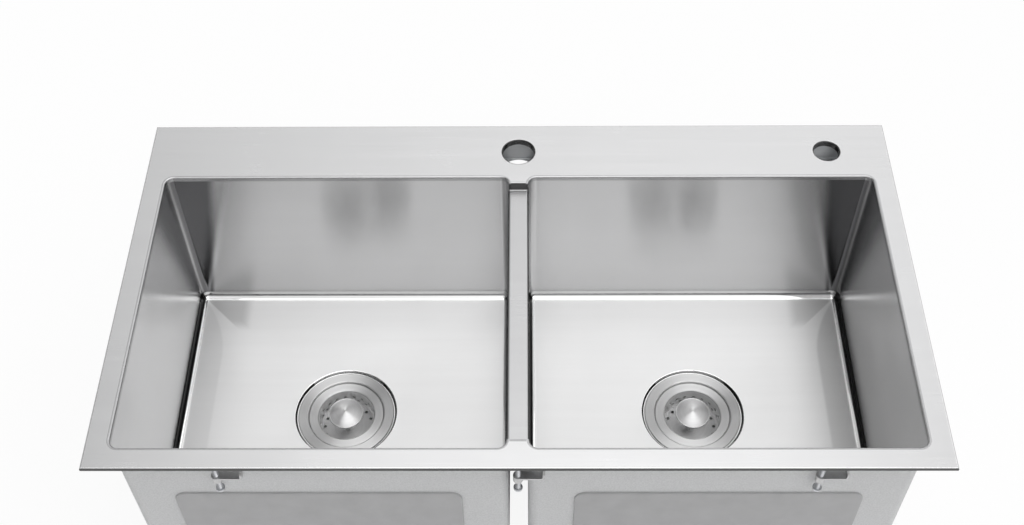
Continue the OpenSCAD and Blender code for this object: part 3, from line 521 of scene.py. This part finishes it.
# Channel and rails
# A folded galvanised channel that stiffens the tap deck from below, and the slotted rails that the
# clips slide in, spot-welded under the rim.
GALVANISED, RAIL = (0.60, 0.61, 0.62), (0.66, 0.66, 0.67)
zinc_sheet = satin_look("zinc_sheet", GALVANISED, 0.42, level_grain, width=3.0, length=12.0, tone=0.06)
rail_steel = satin_look("rail_steel", RAIL, 0.34, level_grain, width=0.8, length=60.0)
dress(zinc_sheet, "rear_channel")
dress(rail_steel, "front_rail", "rear_rail", "left_rail", "right_rail")


# Rim seal
# A strip of closed-cell foam, cut with rounded corners and stuck all round under the rim. The clips
# pull it down onto the worktop, which squeezes it flat.
def piece(name, points, faces, look, body):
    """New smooth piece from points in mm, riding on a body, with sharp edges where it turns by more than
    40 degrees."""
    mesh = bpy.data.meshes.new(name)
    mesh.from_pydata((points * MM).tolist(), [], faces)
    mesh.polygons.foreach_set("use_smooth", np.ones(len(mesh.polygons), bool))
    mesh.update()
    mesh.set_sharp_from_angle(angle=math.radians(40))
    mesh.materials.append(look)
    made = bpy.data.objects.new(name, mesh)
    bpy.context.collection.objects.link(made)
    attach(made, body)
    return made


def shape(name, grid, look, body, node, capped=False):
    """Piece that stands for a CAD node, from a grid of points (u, v, xyz) in mm that closes round u and
    round v. A capped one is open round v, with a flat cap of all u points at its first and last v. Faces
    are wound so that u x v points outwards."""
    n, m = grid.shape[:2]
    a, b = np.meshgrid(np.arange(n), np.arange(m - 1 if capped else m), indexing="ij")
    c, d = (a + 1) % n, (b + 1) % m
    faces = np.stack([a * m + b, c * m + b, c * m + d, a * m + d], -1).reshape(-1, 4).tolist()
    if capped:
        faces += [(np.arange(n)[::-1] * m).tolist(), (np.arange(n) * m + m - 1).tolist()]
    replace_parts(piece(name, grid.reshape(-1, 3), faces, look, body), node)


def soft_look(name, colour, roughness, pore, depth, tone=0.15):
    """Rubber, foam or nylon: one colour with a cloudy tone, and pores or pebbles of a size in mm."""
    made, tree, output = material(name)
    at = place(tree)
    pores = add(tree, "ShaderNodeTexVoronoi", {"Vector": at, "Scale": 1 / (pore * MM)}, feature="F1")
    tones = noise(tree, at, 45.0, 4.0, 0.5)
    surface(tree, output, {
        "Base Color": toned(tree, colour, from_noise(tree, tones, 1 - tone, 1 + tone)),
        "Roughness": spread(tree, tones, roughness - 0.05, roughness + 0.05),
        "Normal": relief(tree, pores.outputs["Distance"], 0.5, depth)})
    return made


def rounded_outline(half_w, half_d, radius, steps):
    """Points round a rounded rectangle, anticlockwise, with the same number on each corner's arc."""
    turn = np.linspace(0, math.pi / 2, steps)
    corner = np.stack([np.cos(turn), np.sin(turn)], -1) * radius
    centres = np.array([(1, 1), (-1, 1), (-1, -1), (1, -1)]) * (half_w - radius, half_d - radius)
    turns = np.array([(1, 0, 0, 1), (0, -1, 1, 0), (-1, 0, 0, -1), (0, 1, -1, 0)]).reshape(4, 2, 2)
    return np.concatenate([centre + corner @ matrix.T for centre, matrix in zip(centres, turns)])


def band_round(outline, section):
    """Section points (outwards, up) carried round a flat outline, along its corners' bisectors."""
    ahead = np.roll(outline, -1, 0) - outline
    ahead /= np.linalg.norm(ahead, axis=1, keepdims=True)
    normal = np.stack([ahead[:, 1], -ahead[:, 0]], -1)
    mitre = normal + np.roll(normal, 1, 0)
    mitre /= (mitre * normal).sum(1, keepdims=True)
    flat = outline[:, None, :] + mitre[:, None, :] * section[None, :, :1]
    height = np.broadcast_to(section[None, :, 1:], flat.shape[:2] + (1,))
    return np.concatenate([flat, height], -1)


def squeezed_section(width, height, power=4.0, steps=20):
    """Section of a squeezed strip that stands on height 0: a superellipse, whose x and y are the cosine
    and sine to the power 2 / power, wound anticlockwise."""
    turn = np.linspace(0, 2 * math.pi, steps, endpoint=False) + 0.01
    c, s = np.cos(turn), np.sin(turn)
    return np.stack([np.sign(c) * np.abs(c) ** (2 / power) * width / 2,
                     np.sign(s) * np.abs(s) ** (2 / power) * height / 2 + height / 2], -1)


SEAL_INSET, SEAL_W, SEAL_H, SEAL_CORNER = 1.6, 7.4, 2.8, 4
foam = soft_look("rim_foam", (0.055, 0.055, 0.058), 0.85, 0.5, 0.25)
seal_line = cad_box[1] / MM - Vector((1, 1, 0)) * (SEAL_INSET + SEAL_W / 2)
seal = band_round(rounded_outline(seal_line.x, seal_line.y, SEAL_CORNER, 7), squeezed_section(SEAL_W, SEAL_H))
shape("rim_seal_foam", seal, foam, "sink", "rim_seal")


# Sound pads
# Rubber sheets stuck to the outsides of each bowl: one under the floor, cut out round the drain,
# and one on each outer wall. They are die-cut, with soft edges and a pebbled face.
def box_mm(node):
    """Lowest corner, highest corner, middle and size of a CAD node's box."""
    low, high = (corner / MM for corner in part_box(node))
    return low, high, (low + high) / 2, high - low


def slab(outline, thick, edge=0.8, steps=5):
    """Flat slab over an outline, its front edge rounded: rings of the outline drawn in round the arc."""
    turn = np.linspace(0, math.pi / 2, steps)
    arc = np.stack([edge * np.cos(turn) - edge, thick - edge + edge * np.sin(turn)], -1)
    return band_round(outline, np.concatenate([[(0.0, 0.0)], arc]))


def wall_sheet(node, wall, side):
    """Slab as large as a wall's pad, with its face turned outwards: wall is front, rear or side."""
    low, high, middle, size = box_mm(node)
    across, thick = (size.y, size.x) if wall == "side" else (size.x, size.y)
    x, y, z = np.moveaxis(slab(rounded_outline(across / 2, size.z / 2, PAD_CORNER, 9), thick), -1, 0)
    if wall == "front":
        return np.stack([middle.x + x, high.y - z, middle.z + y], -1)
    if wall == "rear":
        return np.stack([middle.x - x, low.y + z, middle.z + y], -1)
    return np.stack([low.x + z if side > 0 else high.x - z, middle.y + side * x, middle.z + y], -1)


def fall(x, y):
    """Height of the bowl's inner floor at x, y from the bowl's middle. At a share t of the fall the
    floor's outline is the drain's flat circle shrunk by 1 - t and the floor's rectangle shrunk by t."""
    low, high = np.zeros_like(x), np.ones_like(x)
    for _ in range(30):
        t = (low + high) / 2
        dx = np.maximum(np.abs(x) - t * FALL_HALF_W, 0)
        dy = np.maximum(np.abs(y - (1 - t) * DRAIN_BACK) - t * FALL_HALF_D, 0)
        inside = np.hypot(dx, dy) <= (1 - t) * FLAT_R
        high, low = np.where(inside, t, high), np.where(inside, low, t)
    return FLAT_Z + FLOOR_FALL * high


def base_sheet(node, axis):
    """Ring slab from the drain's round cut to the pad's outline, pressed onto the floor's underside."""
    low, high, middle, size = box_mm(node)
    turn = np.linspace(0, 2 * math.pi, 160, endpoint=False)[:, None]
    cos, sin = np.cos(turn), np.sin(turn)
    to_side = size.x / 2 / np.maximum(np.abs(cos), 1e-6)
    to_end = np.where(sin > 0, high.y - axis[1], axis[1] - low.y) / np.maximum(np.abs(sin), 1e-6)
    share, inset, depth = (np.array(column)[None, :] for column in zip(*BASE_SECTION))
    reach = PAD_CUT_R + (np.minimum(to_side, to_end) - PAD_CUT_R) * share + inset
    x, y = reach * cos, reach * sin
    z = fall(x, y + DRAIN_BACK) - SHEET - depth
    return np.stack([axis[0] + x, axis[1] + y, z], -1)[::-1]


PAD_CORNER, PAD_CUT_R = 12, 63.2
# The bowls' inner floors: the falling rectangle, how far the drain lies behind its middle, the flat
# round the drain, its height, the fall to it, and the sheet
FALL_HALF_W, FALL_HALF_D, DRAIN_BACK = 179, 160.5, 4
FLAT_R, FLAT_Z, FLOOR_FALL, SHEET = 61, -216, 3, 1.2
# Points of the base pad's section: share from the cut to the outline, inset, and depth below the sheet
BASE_SHARES = (0.12, 0.35, 0.6, 0.85)
BASE_SECTION = [(0, 0.8, 0), (0, 0, 0.9), (0, 0, 2.2), (0, 0.3, 2.75), (0, 0.8, 3),
                *[(share, 0, 3) for share in BASE_SHARES],
                (1, -0.8, 3), (1, -0.3, 2.75), (1, 0, 2.2), (1, 0, 0.9), (1, -0.8, 0),
                *[(share, 0, 0) for share in reversed(BASE_SHARES)]]
pad_rubber = soft_look("pad_rubber", (0.46, 0.46, 0.465), 0.7, 1.6, 0.15, 0.05)
AXES = {hand: box_mm(f"{hand}_strainer_body")[2].xy for _, hand in SIDES}
for side, hand in SIDES:
    for wall in ("front", "rear", "side"):
        node = f"{hand}_{wall}_pad"
        sheet = wall_sheet(node, wall, side)
        shape(f"{hand}_{wall}_sound_pad", sheet, pad_rubber, "sink", node, capped=True)
for side, hand in SIDES:
    node = f"{hand}_base_pad"
    shape(f"{hand}_base_sound_pad", base_sheet(node, AXES[hand]), pad_rubber, "sink", node)


# Clips
# Eight zinc-plated clips hold the sink down: a square nut slides in the rail, a slotted screw hangs
# from it, and a claw of folded steel rides up the screw's thread and bites under the worktop.
def plated_look(name, colour, roughness, swing=0.05):
    """Plated steel: bright, faintly mottled by the plating, dulled where it is handled."""
    made, tree, output = material(name)
    at = place(tree)
    mottle = noise(tree, at, 260.0, 5.0, 0.7)
    marks = use(tree, handling, at, Size=25.0)
    dark = tuple(part * 0.86 for part in colour) + (1,)
    rough = from_noise(tree, mottle, roughness - swing, roughness + swing)
    surface(tree, output, {
        "Base Color": blend(tree, from_noise(tree, mottle, 0.0, 1.0), colour + (1,), dark), "Metallic": 1.0,
        "Roughness": calc(tree, "ADD", rough, spread(tree, marks["Marks"], 0.0, 0.1)),
        "Normal": relief(tree, mottle, 0.2, 0.05)})
    return made


def thread(axis, radius, pitch, low, high, rise, per_turn):
    """Thread ridge: a triangle of height rise carried up a helix round an axis from low to high. It
    grows from nothing over its first and last half turns, so that both ends run out into the core."""
    turns = (high - low) / pitch
    at = np.linspace(0, turns, int(turns * per_turn) + 1)[:, None]
    grow = np.clip(np.minimum(at, turns - at) * 2, 0.02, 1)
    out, up = np.array([[-0.15, 1.0, -0.15]]), np.array([[-0.45, 0.0, 0.45]])
    reach = radius + rise * np.where(out > 0, out * grow, out)
    x, y = reach * np.cos(2 * math.pi * at), reach * np.sin(2 * math.pi * at)
    z = low + at * pitch + up * pitch * grow
    return np.stack([axis[0] + x, axis[1] + y, z], -1)


def threads(name, parts, look):
    """Several threads on the fixed body in one piece, each closed by a triangle at its two ends."""
    offset, faces = 0, []
    for part in parts:
        n, m = part.shape[:2]
        a, b = np.meshgrid(np.arange(n - 1), np.arange(m), indexing="ij")
        d = (b + 1) % m
        sides = np.stack([a * m + b, (a + 1) * m + b, (a + 1) * m + d, a * m + d], -1).reshape(-1, 4)
        last = offset + (n - 1) * m
        faces += (sides + offset).tolist() + [[offset + 2, offset + 1, offset], [last, last + 1, last + 2]]
        offset += n * m
    points = np.concatenate([part.reshape(-1, 3) for part in parts])
    piece(name, points, faces, look, "sink")


bright_zinc = plated_look("bright_zinc", (0.66, 0.67, 0.69), 0.32)
claw_zinc = plated_look("claw_zinc", (0.60, 0.60, 0.60), 0.36)
dress(bright_zinc, "clip_nuts", "clip_screws")
dress(claw_zinc, *[f"claw_{number}" for number in range(1, 9)])
screw = {"radius": 2.42, "pitch": 0.8, "low": -55.5, "high": -1.5, "rise": 0.35, "per_turn": 14}
clip_axes = [Vector(joint["pos_m"]) / MM for joint in frame["joints"] if joint["type"] == "hinge"]
threads("clip_threads", [thread(axis, **screw) for axis in clip_axes], bright_zinc)


# Strainer bodies
# A flange, throat and cup drawn from one sheet and turned bright, with a threaded cup for the lock
# nut and a threaded neck for the waste pipe's coupling nut.
def turned_grain(side):
    """Grain coordinates round the drain's axis: the angle as a length, then the distance and height."""
    def vector(tree):
        at = xyz(tree, vector_calc(tree, "SUBTRACT", place(tree), (side * BOWL_X, DRAIN_Y, 0)))
        squares = [calc(tree, "MULTIPLY", at[axis], at[axis]) for axis in "XY"]
        out = calc(tree, "SQRT", calc(tree, "ADD", *squares))
        angle = calc(tree, "MULTIPLY", calc(tree, "ARCTAN2", at["Y"], at["X"]), GRAIN_R)
        return add(tree, "ShaderNodeCombineXYZ", {0: angle, 1: out, 2: at["Z"]}).outputs[0]
    return vector


def turned_highlight(side):
    """Away from the drain's axis: across the turning marks."""
    def tangent(tree):
        spoke = vector_calc(tree, "SUBTRACT", place(tree), (side * BOWL_X, DRAIN_Y, -0.3))
        return vector_calc(tree, "MULTIPLY", spoke, (1, 1, 0.001))
    return tangent


def turned_look(name, side, colour, roughness, anisotropy, width, painted_highlight=None):
    """Steel turned round the drain's axis."""
    return satin_look(name, (colour,) * 3, roughness, turned_grain(side), turned_highlight(side), anisotropy,
                      width, 40.0, painted_highlight=painted_highlight)


DRAIN_Y, GRAIN_R = AXES["right"].y * MM, 0.02
cup_thread = {"radius": 37.45, "pitch": 2.0, "low": -253, "high": -238.5, "rise": 0.9, "per_turn": 72}
neck_thread = {"radius": 23.45, "pitch": 1.8, "low": -276.5, "high": -257, "rise": 0.8, "per_turn": 60}
for side, hand in SIDES:
    turned = turned_look(f"{hand}_strainer_steel", side, 0.60, 0.36, 0.97, 0.35)
    dress(turned, f"{hand}_strainer_body")
    pair = [thread(AXES[hand], **cup_thread), thread(AXES[hand], **neck_thread)]
    threads(f"{hand}_strainer_threads", pair, turned)


# Drain fixings
# Between flange and bowl a foam ring; under the bowl a rubber gasket, a fibre friction ring and the
# lock nut; at the neck a nylon washer and the chromed coupling nut.
def softened(points, radius, steps=5):
    """Closed profile with each corner replaced by a curve that starts a radius before it: a quadratic
    arc whose middle point is the corner."""
    p = np.asarray(points, float)

    def toward(v):
        length = np.linalg.norm(v, axis=1, keepdims=True)
        return v / length * np.minimum(radius, length * 0.45)

    a, b = p + toward(np.roll(p, 1, 0) - p), p + toward(np.roll(p, -1, 0) - p)
    t = np.linspace(0, 1, steps)[None, :, None]
    return (a[:, None] * (1 - t) ** 2 + 2 * p[:, None] * t * (1 - t) + b[:, None] * t ** 2).reshape(-1, 2)


def revolve(axis, profile, steps=96):
    """Profile points (distance from the axis, height), closed on itself and carried round the axis."""
    turn = np.linspace(0, 2 * math.pi, steps, endpoint=False)[:, None]
    x, y = axis[0] + profile[:, 0] * np.cos(turn), axis[1] + profile[:, 0] * np.sin(turn)
    return np.stack([x, y, np.broadcast_to(profile[:, 1], x.shape)], -1)[::-1]


FLANGE_RING = softened([(46, -220), (54, -220), (54, -219), (46, -219)], 0.4)
GASKET_RING = softened([(45, -224.2), (53, -224.2), (54, -223.2), (54, -221.2), (45, -221.2)], 0.6)
gasket_rubber = soft_look("gasket_rubber", (0.045, 0.045, 0.048), 0.55, 0.9, 0.06)
fibre = soft_look("friction_fibre", (0.46, 0.33, 0.20), 0.85, 0.7, 0.12, 0.25)
white_nylon = soft_look("white_nylon", (0.78, 0.78, 0.75), 0.4, 3.0, 0.02, 0.04)
nut_zinc = plated_look("nut_zinc", (0.58, 0.59, 0.60), 0.38)
nut_chrome = plated_look("nut_chrome", (0.72, 0.72, 0.73), 0.16, 0.03)
for side, hand in SIDES:
    ring = revolve(AXES[hand], FLANGE_RING)
    shape(f"{hand}_flange_foam", ring, foam, "sink", f"{hand}_flange_seal")
    ring = revolve(AXES[hand], GASKET_RING)
    shape(f"{hand}_rubber_gasket", ring, gasket_rubber, "sink", f"{hand}_gasket")
    dress(fibre, f"{hand}_friction_ring")
    dress(nut_zinc, f"{hand}_lock_nut")
    dress(white_nylon, f"{hand}_tail_washer")
    dress(nut_chrome, f"{hand}_coupling_nut")


# Baskets
# Each basket is pressed from thin sheet, with a rolled rim and rows of punched holes. A domed knob on
# a stem lifts it, and a rubber stopper under it closes the neck.
def inside_well(tree):
    """The basket's well, below its brushed rim, painted near white as a painted highlight."""
    return spread(tree, xyz(tree, place(tree))["Z"], 1.0, 0.0, WELL_TOP, WELL_TOP + MM)


WELL_TOP = -0.2225
STOPPER = softened([(4, -250.9), (8, -250.9), (8, -253.9), (24, -253.9), (25, -252.9), (25, -251.9),
                    (21, -249.9), (21, -246.9), (4, -246.9)], 0.7)
for side, hand in SIDES:
    dress(turned_look(f"{hand}_basket_steel", side, 0.62, 0.38, 0.95, 0.3, inside_well), f"{hand}_basket")
    dress(turned_look(f"{hand}_knob_steel", side, 0.70, 0.34, 1.0, 0.25), f"{hand}_knob")
    dress(bright_zinc, f"{hand}_stem_nut")
    cap, body = revolve(AXES[hand], STOPPER), f"{hand}_basket_unit"
    shape(f"{hand}_rubber_stopper", cap, gasket_rubber, body, f"{hand}_stopper")
